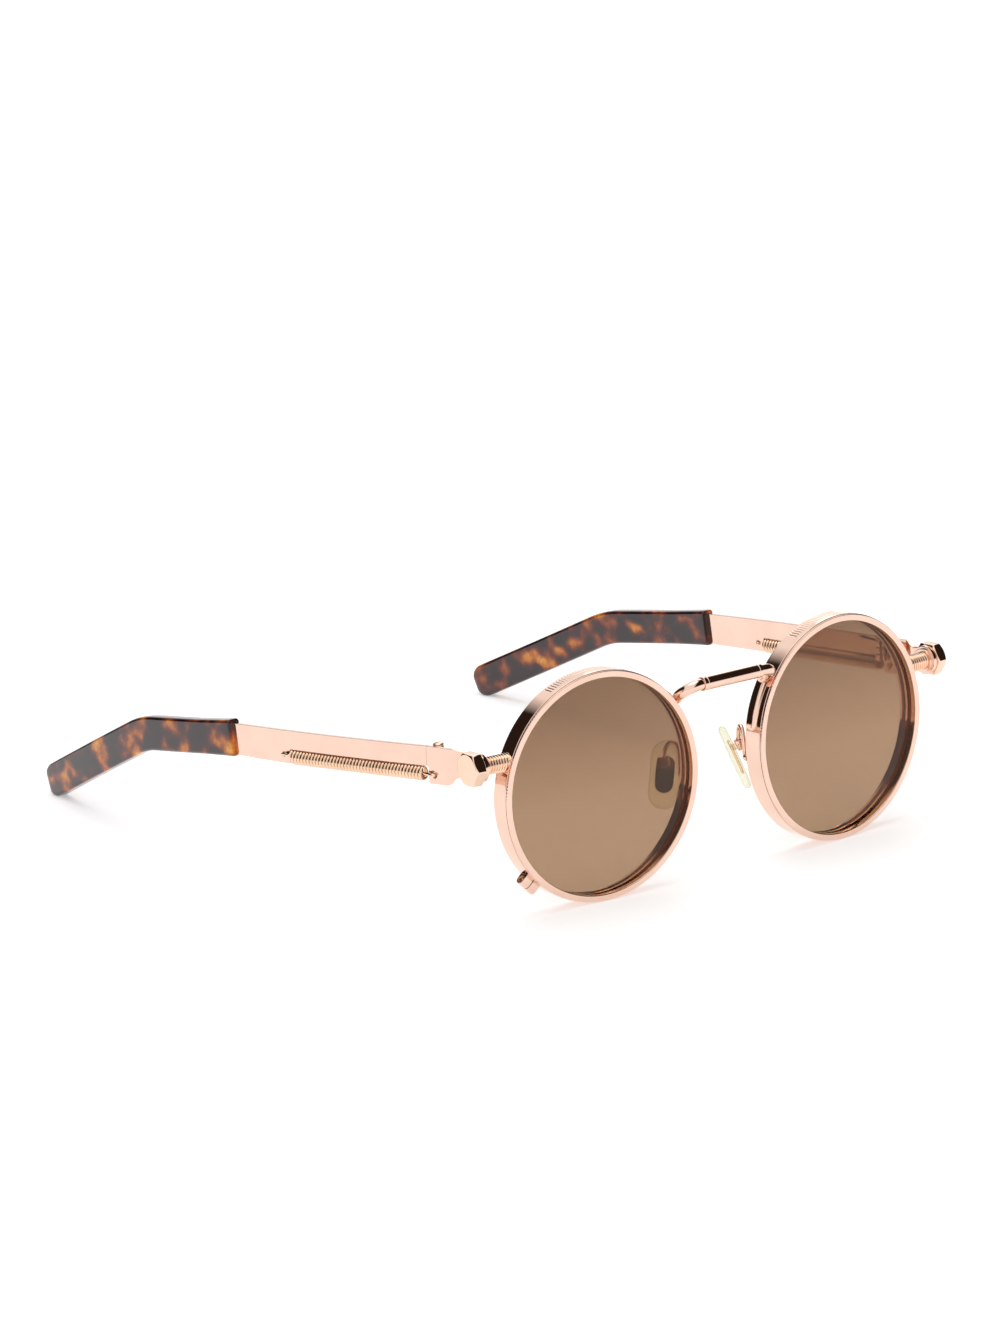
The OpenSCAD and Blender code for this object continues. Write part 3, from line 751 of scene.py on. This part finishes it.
def hex_shape(x0, x1):
    """A hexagon head along z with corners towards +y and -y, its outer face chamfered to a circle."""
    face_r, corner_r = HEAD_AF / 2 - 0.05, HEAD_AF / 2 / cos(pi / 6) - 0.07
    angles = sorted(set([60 * c + d for c in range(6)
                         for d in (30, 26, 28, 29, 31, 32, 34, 0, 6, 12, 18, 22, 38, 42, 48, 54)]))

    def hex_r(a):
        return min(HEAD_AF / 2 / cos(radians((a + 30) % 60 - 30)), corner_r)

    def ring(radius, x):
        return [Vector((radius(a) * cos(radians(a)), radius(a) * sin(radians(a)), x(a))) for a in angles]

    def drop(a):
        return max(0.0, hex_r(a) - face_r) * CHAMFER_SLOPE

    rings = [ring(lambda a: 1.2, lambda a: x0), ring(lambda a: min(hex_r(a) - 0.12, face_r), lambda a: x0),
             ring(lambda a: hex_r(a) - 0.03, lambda a: x0 + drop(a) * 0.5 + 0.02),
             ring(hex_r, lambda a: x0 + drop(a) * 0.5 + 0.1),
             ring(hex_r, lambda a: x1 - drop(a) - 0.12),
             ring(lambda a: hex_r(a) - 0.035, lambda a: x1 - drop(a) - 0.03),
             ring(lambda a: min(hex_r(a) - 0.12, face_r), lambda a: x1 - 0.01),
             ring(lambda a: face_r - 0.12, lambda a: x1), ring(lambda a: 1.2, lambda a: x1)]
    return loft(rings)


def collar_shape():
    return turned(fillet([(SHANK_R, EYE_X - COLLAR_T), (COLLAR_R, EYE_X - COLLAR_T), (COLLAR_R, EYE_X),
                          (SHANK_R, EYE_X)], [0.03, 0.15, 0.05, 0], 4), steps=72)


def top_at(y):
    return TOP_Z - TOP_SLOPE * (y - JOINT_Y)


def bottom_at(y):
    return BOTTOM_Z - BOTTOM_SLOPE * (y - JOINT_Y)


def temple_x(y):
    return TEMPLE_X + BOW_SLOPE * (y - JOINT_Y) - BOW_CURVE * (y - JOINT_Y) ** 2


def interpolated(points):
    """A function x(y) along a smooth curve through (x, y) points."""
    curve = spline(points, 8)

    def at(y):
        y = min(max(y, curve[0].y + 1e-6), curve[-1].y - 1e-6)
        for a, b in zip(curve, curve[1:]):
            if a.y <= y <= b.y:
                return a.x + (b.x - a.x) * (y - a.y) / (b.y - a.y)
        return curve[-1].x
    return at


def end_piece_shape():
    eye_y = (EYE_X + PLATE_T / 2) * sin(WRAP) + BOLT_Y * cos(WRAP)
    eye_z = RIM_Z + BOLT_Z
    arc = [(eye_y + EYE_R * cos(radians(a)), eye_z + EYE_R * sin(radians(a))) for a in range(58, 303, 6)]
    tongue = [(7.4, 31.33), (10.0, 31.15), (11.2, 30.65), (12.0, 29.75), (12.9, 29.0), (19.1, 28.4),
              (19.4, 28.7), (19.4, 32.1), (JOINT_Y, 32.1), (JOINT_Y, TOP_Z), (11.4, top_at(11.4)),
              (10.4, 36.85), (8.3, 36.55), (7.2, 36.6)]
    radius = [0.5, 1.0, 0.8, 0.8, 0.5, 0.19, 0.19, 0.25, 0.25, 0.25, 0.5, 0.6, 0.6, 0.4]
    outline = fillet([Vector(p) for p in arc + tongue], [0] * len(arc) + radius, 5)
    holes = [circle((eye_y, eye_z), SHANK_R + EASE, 48, True), circle(FRONT_HOLE, FRONT_HOLE_R, 32, True)]
    # nearly flat at the eye, then a joggle out to the temple's plane
    plan = interpolated([(63.55, 0), (63.55, 2), (63.38, 4.8), (63.14, 8), (63.45, 9.1), (64.45, 11.1),
                         (TEMPLE_X, 12.4), (TEMPLE_X, 16), (TEMPLE_X, 22)])
    return bent(plate([outline] + holes, PLATE_T - EASE, 0.07), plan, 0.6, 1.5, 13.5)


head_x = EYE_X + PLATE_T
BOLT_SHAPE = joined(thread_shape(head_x + 0.1), hex_shape(head_x, head_x + HEAD_T))
COLLAR_SHAPE, END_SHAPE = collar_shape(), end_piece_shape()

for k, side in SIDES.items():
    on_bolt = in_rim(side) @ ON_BOLT
    piece(f"bolt_threaded_{k}", BOLT_SHAPE, on_bolt, BOLT, "front", [f"side_bolt_{k}"], sharp=50)
    piece(f"bolt_collar_ring_{k}", COLLAR_SHAPE, on_bolt, ROSE, "front", [f"bolt_collar_{k}"])
    piece(f"end_plate_{k}", END_SHAPE, placed(side), ROSE, "front", [f"end_piece_{k}"])


# ---- hinges ----

AT_HINGE = Matrix.Translation((HINGE[0], HINGE[1], 0))


def knuckle_shape(z0, z1):
    outline = fillet([(PIN_BORE, z0), (KNUCKLE_R, z0), (KNUCKLE_R, z1), (PIN_BORE, z1)],
                     [0.03, 0.12, 0.12, 0.03], 3)
    return moved(turned(outline, steps=48), AT_HINGE)


def knuckle_room(z0, z1):
    """The space that a leaf leaves free for the other leaf's knuckle."""
    return moved(lathe([(0, z0), (KNUCKLE_ROOM, z0), (KNUCKLE_ROOM, z1), (0, z1)], 48), AT_HINGE)


def front_hinge_shape():
    z = KNUCKLES
    inner = TEMPLE_X - PLATE_T / 2
    leaf = block((inner - 0.8, HINGE[1] - 5.5, z[0]), (inner + EASE, HINGE[1] + 0.3, z[5]), 0.1)
    leaf = carved(leaf, knuckle_room(z[1], z[4]))
    return joined(leaf, knuckle_shape(z[0], z[1]), knuckle_shape(z[4], z[5]))


def rear_hinge_shape():
    z = KNUCKLES
    near, far = temple_x(JOINT_Y) - 0.5, temple_x(LEAF_BACK) - 0.56
    outline = fillet([(HINGE[0] + 0.3, JOINT_Y - 0.35), (near, JOINT_Y - 0.3), (near, JOINT_Y),
                      (far, LEAF_BACK), (far - 0.64, LEAF_BACK), (HINGE[0] + 1, JOINT_Y + 2)],
                     [0.3, 0.13, 0, 0.25, 0.25, 0.5], 3)
    leaf = moved(plate([outline], LEAF_H, 0.06), Matrix.Translation((0, 0, LEAF_Z)))
    return joined(carved(leaf, knuckle_room(z[0], z[2]), knuckle_room(z[3], z[5])), knuckle_shape(z[2], z[3]))


def hinge_screw_shape():
    z0, z1 = KNUCKLES[0], KNUCKLES[5]
    pin = lathe([(0, z0), (PIN_R - 0.05, z0), (PIN_R, z0 + 0.08), (PIN_R, z1), (0, z1)], 32)
    head = moved(slotted_head(1.18, 0.69, 0.3), Matrix.Translation((0, 0, z1)))
    return moved(joined(pin, head), AT_HINGE)


FRONT_HINGE, REAR_HINGE, HINGE_SCREW = front_hinge_shape(), rear_hinge_shape(), hinge_screw_shape()

for k, side in SIDES.items():
    here = placed(side)
    piece(f"hinge_front_leaf_{k}", FRONT_HINGE, here, ROSE, "front", [f"front_hinge_{k}"])
    piece(f"hinge_rear_leaf_{k}", REAR_HINGE, here, ROSE, f"temple_arm_{k}", [f"rear_hinge_{k}"])
    piece(f"hinge_pin_{k}", HINGE_SCREW, here, PALE, "front", [f"hinge_screw_{k}"])


# ---- temples ----

def notch_at(y):
    (y0, z0), (y1, z1) = SPRING_FROM, SPRING_TO
    return z0 + SPRING_R + NOTCH_GAP + (z1 - z0) * (y - y0) / (y1 - y0)


def temple_shape():
    y0 = JOINT_Y + 0.1
    outline = [(y0, notch_at(JOINT_Y)), (NOTCH_Y, notch_at(NOTCH_Y)), (NOTCH_Y, bottom_at(NOTCH_Y)),
               (PLATE_END, bottom_at(PLATE_END)), (PLATE_END, top_at(PLATE_END)), (y0, TOP_Z)]
    hole = circle(REAR_HOLE, REAR_HOLE_R, 28, True)
    return bent(plate([fillet(outline, 0.2, 4), hole], PLATE_T - EASE, 0.08), temple_x, 2.0, 21, PLATE_END)


def tip_line():
    """The tip's centre line over (y, z): (point, heading) all along, and the centre of its round end."""
    a, b, c = Vector(TIP_FRONT), Vector(TIP_BEND), Vector(TIP_BACK)
    h0, h1 = atan2(b.y - a.y, b.x - a.x), atan2(c.y - b.y, c.x - b.x)
    reach = BEND_R * tan((h0 - h1) / 2)
    start = b - Vector((cos(h0), sin(h0))) * reach
    middle = start + Vector((sin(h0), -cos(h0))) * BEND_R
    end = c + Vector((cos(h1), sin(h1))) * (TIP_W / 2)
    line = [(a + (start - a) * f, h0) for f in [i / 14 for i in range(14)]]
    line += [(middle + Vector((cos(t), sin(t))) * BEND_R, t - pi / 2)
             for t in [pi / 2 + h0 + (h1 - h0) * i / 10 for i in range(11)]]
    arc_end = line[-1][0]
    line += [(arc_end + (c - arc_end) * f, h1) for f in [i / 16 for i in range(1, 17)]]
    line += [(c + (end - c) * sin(t), h1) for t in [pi / 2 * i / 9 for i in range(1, 9)] + [radians(88.5)]]
    return line, c


def past_corner(half, edge, c):
    """One coordinate of a rounded rectangle: to its corner's centre on c's side, then round the corner."""
    return (half - edge) * (0 if abs(c) <= 1e-6 else 1 if c > 0 else -1) + edge * c


def tip_shape(sides=40):
    """A flat bar with well rounded edges, swept along the bent centre line."""
    line, back = tip_line()
    first = line[0][0]
    rings = []

    def section(point, heading, half_w, half_t, along=0.0):
        up = Vector((-sin(heading), cos(heading)))
        way = Vector((cos(heading), sin(heading)))
        edge = min(half_t, TIP_EDGE)
        ring = []
        for j in range(sides):
            a = 2 * pi * j / sides
            w, t = past_corner(half_w, edge, cos(a)), past_corner(half_t, edge, sin(a))
            p = point + up * w + way * along
            slope = BOW_SLOPE - 2 * BOW_CURVE * (p.x - JOINT_Y)
            size = hypot(1, slope)
            ring.append(Vector((temple_x(p.x) + t / size, p.x - t * slope / size, p.y)))
        return ring

    # its front end has a rounded edge, and is a little wider than the rest
    for depth, less in ((0.0, 0.45), (0.03, 0.22), (0.12, 0.08), (0.3, 0.0)):
        rings.append(section(first, line[0][1], TIP_W / 2 + TIP_FLARE - less, TIP_T / 2 - less, depth))
    for point, heading in line[1:]:
        f = min(1.0, (point - first).length / 12)
        beyond = (point - back).dot(Vector((cos(heading), sin(heading))))
        half_w = TIP_W / 2 + TIP_FLARE * (1 - f)
        half_t = TIP_T / 2
        if beyond > 1e-6:
            # the round end
            share = min(1, beyond / (TIP_W / 2))
            half_w = max(0.12, TIP_W / 2 * sqrt(1 - share ** 2))
            half_t = max(0.2, TIP_T / 2 * (1 - share ** 6 * 0.75))
        rings.append(section(point, heading, half_w, half_t))
    return loft(rings)


def on_temple(p, out):
    """A point beside the temple plate: (y, z), and how far out from its middle."""
    return Vector((temple_x(p[0]) + out, p[0], p[1]))


def spring_shape(turns=41, per_turn=20):
    """A close coil in the temple's notch, hooked through the end piece's hole and the temple's."""
    a, b = on_temple(SPRING_FROM, 0), on_temple(SPRING_TO, 0)
    way = (b - a).normalized()
    up = (Vector((0, 0, 1)) - way * way.z).normalized()
    across = way.cross(up)
    coil_r = SPRING_R - WIRE_R
    out = PLATE_T / 2 + WIRE_R + 0.1
    coil = [a + (b - a) * (i / (turns * per_turn)) + (up * cos(2 * pi * i / per_turn)
            + across * sin(2 * pi * i / per_turn)) * coil_r for i in range(turns * per_turn + 1)]
    fy, fz = FRONT_HOLE
    front = spline([(TEMPLE_X - 0.75, fy + 0.25, fz - 0.25), (TEMPLE_X, fy, fz),
                    (TEMPLE_X + out - 0.1, fy + 0.1, fz + 0.05), (TEMPLE_X + out + 0.05, fy + 1.2, fz + 0.1),
                    a + Vector((0.8, -0.95, 0.35)), a + Vector((0.6, -0.5, 1.0)), coil[0]], 7)[:-1]
    ry, rz = REAR_HOLE
    rx = temple_x(ry)
    rear = spline([coil[-1], b + Vector((0.6, 0.25, 1.1)), b + Vector((1.0, 0.8, 0.6)),
                   (rx + out + 0.05, ry - 1.0, rz + 0.25), (rx + out - 0.1, ry - 0.15, rz), (rx, ry, rz),
                   (rx - 0.75, ry - 0.2, rz - 0.2)], 7)[1:]
    return tube(front + coil + rear, WIRE_R, 8, ends=2)


TEMPLE_SHAPE, TIP_SHAPE, SPRING_SHAPE = temple_shape(), tip_shape(), spring_shape()

for k, side in SIDES.items():
    here, arm = placed(side), f"temple_arm_{k}"
    piece(f"temple_plate_{k}", TEMPLE_SHAPE, here, ROSE, arm, [f"temple_{k}"])
    piece(f"tip_acetate_{k}", TIP_SHAPE, here, TORTOISE, arm, [f"temple_tip_{k}"], sharp=60)
    # the spring goes from the front to the arm between these two places; it is baked in place and carried by
    # neither body
    ends = [here @ Vector((TEMPLE_X, y, 30.0)) for y in (17.6, 25.5)]
    piece(f"spring_coil_{k}", SPRING_SHAPE, here, PALE, arm, [f"temple_spring_{k}"], sharp=180,
          blend=("front", arm, tuple(ends[0]), tuple(ends[1])))


# ---- nose pads ----

def arm_shape(to_pad, to_rim):
    path = [(9.26, 3.63, 22.5), (9.24, 4.05, 23.6), (9.2, 4.2, 26), (9.25, 4.6, 28.1), (9.55, 5.5, 29),
            (10.05, 6.6, 28.5), (10.5, 7.3, 27), (10.62, 7.6, 25.4)]
    wire = tube(spline(path, 8), ARM_R, 16, ends=0)
    foot = moved(lathe([(0, 0), (0.8, 0), (0.8, 0.6), (0.7, 0.85), (0.45, 0.98), (0, 1.0)], 28),
                 to_rim @ Matrix.Translation((-ARM_FOOT[0], RIM_DEPTH, ARM_FOOT[1] - RIM_Z)) @ ON_RIM)
    (x0, y0, z0), (x1, y1, z1) = BOX_FROM, BOX_TO
    cheeks = [block((x0, -y1, z0), (x1, -y0, z1), 0.1), block((x0, y0, z0), (x1, y1, z1), 0.1)]
    back = block((x1 - BOX_BACK, -y1, z0), (x1, y1, z1), 0.08)
    return joined(wire, foot, *[moved(s, to_pad) for s in cheeks + [back]])


def pillow(outline, thick, edge, dome, steps=6):
    """A pad with a full round edge and gently domed faces, across z = 0."""
    rings = []
    for k in range(steps + 1):
        a = pi / 2 * k / steps
        z = (thick / 2 - dome) * sin(a)
        rings.append([Vector((p.x, p.y, z)) for p in inset(outline, edge * (1 - cos(a)))])
    centre = sum(rings[-1], Vector()) / len(rings[-1])
    for f in (0.85, 0.65, 0.4, 0.15):
        rings.append([Vector((centre.x + (p.x - centre.x) * f, centre.y + (p.y - centre.y) * f,
                              thick / 2 - dome * f ** 2)) for p in rings[steps]])
    below = [[Vector((p.x, p.y, -p.z)) for p in ring] for ring in rings[1:]]
    return loft(list(reversed(below)) + rings)


def pad_outline(width, length, steps=18):
    """A slot's outline, straight sides between two half circles, with points along the sides too."""
    half = (length - width) / 2
    upper = [(width / 2 * cos(pi * k / steps), half + width / 2 * sin(pi * k / steps))
             for k in range(steps + 1)]
    lower = [(-x, -y) for x, y in upper]
    bare = [Vector(p) for p in upper + lower]
    dense = []
    for i, p in enumerate(bare):
        dense.append(p)
        q = bare[(i + 1) % len(bare)]
        if (q - p).length > 1.5:
            dense += [p.lerp(q, f / 6) for f in range(1, 6)]
    return dense


# Puts an outline in (y, z) with thickness along x into the pad's frame
PAD_FACE = Matrix(((0, 0, 1, 0), (1, 0, 0, 0), (0, 1, 0, 0), (0, 0, 0, 1)))

PAD_SHAPE = moved(pillow(pad_outline(PAD_W, PAD_L), PAD_T, 0.95, 0.14), PAD_FACE)


def insert_shape():
    back = moved(plate([pad_outline(4.2, 8.2)], 0.6, 0.12), Matrix.Translation((0.2, 0, 0)) @ PAD_FACE)
    stem = block((0.45, -0.5, PAD_AXIS[1] - 0.65), (PAD_AXIS[0], 0.5, PAD_AXIS[1] + 0.65), 0.1)
    ring = fillet([(0.4, -0.5), (0.65, -0.5), (0.65, 0.5), (0.4, 0.5)], 0.08, 3)
    loop = moved(turned(ring, steps=32), Matrix.Translation((PAD_AXIS[0], 0, PAD_AXIS[1])) @ ON_RIM)
    return joined(back, stem, loop)


def pad_screw_shape():
    pin = lathe([(0, -1.2), (0.34, -1.2), (0.34, 1.15), (0.28, 1.2), (0, 1.2)], 24)
    head = moved(slotted_head(0.58, 0.34, 0.14),
                 Matrix.Rotation(pi, 4, "X") @ Matrix.Translation((0, 0, 1.2)))
    return moved(joined(pin, head), Matrix.Translation((PAD_AXIS[0], 0, PAD_AXIS[1])) @ ON_RIM)


INSERT_SHAPE, PAD_SCREW = insert_shape(), pad_screw_shape()

for k, side in SIDES.items():
    here, pad = placed(side), f"pad_{k}"
    back = here.inverted()
    arm = arm_shape(back @ in_pad(side), back @ in_rim(side))
    piece(f"pad_arm_wire_{k}", arm, here, ROSE, "front", [f"pad_arm_{k}"])
    piece(f"pad_pin_{k}", PAD_SCREW, in_pad(side), PALE, "front", [f"pad_screw_{k}"])
    piece(f"pad_plate_{k}", INSERT_SHAPE, in_pad(side), PALE, pad, [f"pad_insert_{k}"])
    piece(f"pad_cushion_{k}", PAD_SHAPE, in_pad(side), SILICONE, pad, [f"nose_pad_{k}"],
          sharp=180)


# ---- studio ----

# In this section left and right are as seen from the front: left is towards -X

FLOOR_LENGTH, FLOOR_WIDTH = 8, 1.3


def make_floor():
    """A strip of white paper from the front left to the back right, along the camera's line of sight."""
    mesh = bpy.data.meshes.new("floor")
    along, across = Vector((0.626, 0.78, 0)), Vector((-0.78, 0.626, 0))
    a, b = FLOOR_LENGTH / 2, FLOOR_WIDTH / 2
    corners = [along * u + across * v for u, v in ((-a, -b), (a, -b), (a, b), (-a, b))]
    mesh.from_pydata([tuple(c) for c in corners], [], [(0, 1, 2, 3)])
    obj = bpy.data.objects.new("floor", mesh)
    bpy.context.scene.collection.objects.link(obj)
    material, tree, out = new_material("floor_white")
    shader = node(tree, "ShaderNodeBsdfPrincipled", Roughness=0.9)
    shader.inputs["Base Color"].default_value = (0.9, 0.9, 0.9, 1)
    shader.inputs["Specular IOR Level"].default_value = 0.1
    shader.inputs["Emission Color"].default_value = (1, 1, 1, 1)
    shader.inputs["Emission Strength"].default_value = 0.4
    tree.links.new(shader.outputs["BSDF"], out.inputs["Surface"])
    mesh.materials.append(material)


def studio_world():
    """A white studio with two dark openings: one at the back left, one at the front right."""
    world = bpy.data.worlds.new("studio")
    world.use_nodes = True
    tree = world.node_tree
    tree.nodes.clear()
    out = node(tree, "ShaderNodeOutputWorld")
    background = node(tree, "ShaderNodeBackground", Strength=1.0)
    coords = node(tree, "ShaderNodeTexCoord")
    split = node(tree, "ShaderNodeSeparateXYZ")
    tree.links.new(coords.outputs["Generated"], split.inputs["Vector"])
    height = node(tree, "ShaderNodeMapRange")
    lowest = -0.2
    height.inputs["From Min"].default_value = lowest
    tree.links.new(split.outputs["Z"], height.inputs["Value"])

    def at(z):
        return (z - lowest) / (1 - lowest)

    def shade(way, edge, low, high):
        """How dark the studio is: fully dark round one compass way, between two heights."""
        side = node(tree, "ShaderNodeVectorMath", operation="DOT_PRODUCT")
        side.inputs[1].default_value = way
        tree.links.new(coords.outputs["Generated"], side.inputs[0])
        near = ramp(tree, side.outputs["Value"], [(edge[0], grey(0)), (edge[1], grey(1))])
        band = ramp(tree, height.outputs["Result"], [(at(low[0]), grey(0)), (at(low[1]), grey(1)),
                                                     (at(high[0]), grey(1)), (at(high[1]), grey(0))])
        both = node(tree, "ShaderNodeMath", operation="MULTIPLY")
        tree.links.new(near.outputs["Color"], both.inputs[0])
        tree.links.new(band.outputs["Color"], both.inputs[1])
        return both

    back_left = shade((-0.65, 0.76, 0), (0.55, 0.7), (-0.1, -0.05), (0.7, 0.85))
    front_right = shade((0.9, -0.44, 0), (0.3, 0.48), (0.03, 0.12), (0.85, 0.95))
    total = node(tree, "ShaderNodeMath", operation="ADD")
    tree.links.new(back_left.outputs["Value"], total.inputs[0])
    tree.links.new(front_right.outputs["Value"], total.inputs[1])
    sky = ramp(tree, total.outputs["Value"], [(0.0, grey(1.0)), (1.0, (0.022, 0.014, 0.011))])
    tree.links.new(sky.outputs["Color"], background.inputs["Color"])
    tree.links.new(background.outputs["Background"], out.inputs["Surface"])
    bpy.context.scene.world = world


def area_light(name, place, size, power):
    """A square soft light that faces the object's middle on the floor."""
    data = bpy.data.lights.new(name, "AREA")
    data.shape, data.size, data.energy = "SQUARE", size, power
    obj = bpy.data.objects.new(name, data)
    bpy.context.scene.collection.objects.link(obj)
    turn = Vector(place).to_track_quat("Z", "Y").to_matrix().to_4x4()
    obj.matrix_world = Matrix.Translation(place) @ turn


make_floor()
studio_world()
area_light("overhead", (0.2, 0.1, 1.9), 1.3, 7)
area_light("back_right", (1.5, 1.3, 1.1), 0.9, 2.5)

bpy.context.scene.view_settings.view_transform = "Standard"
bpy.context.scene.view_settings.look = "None"
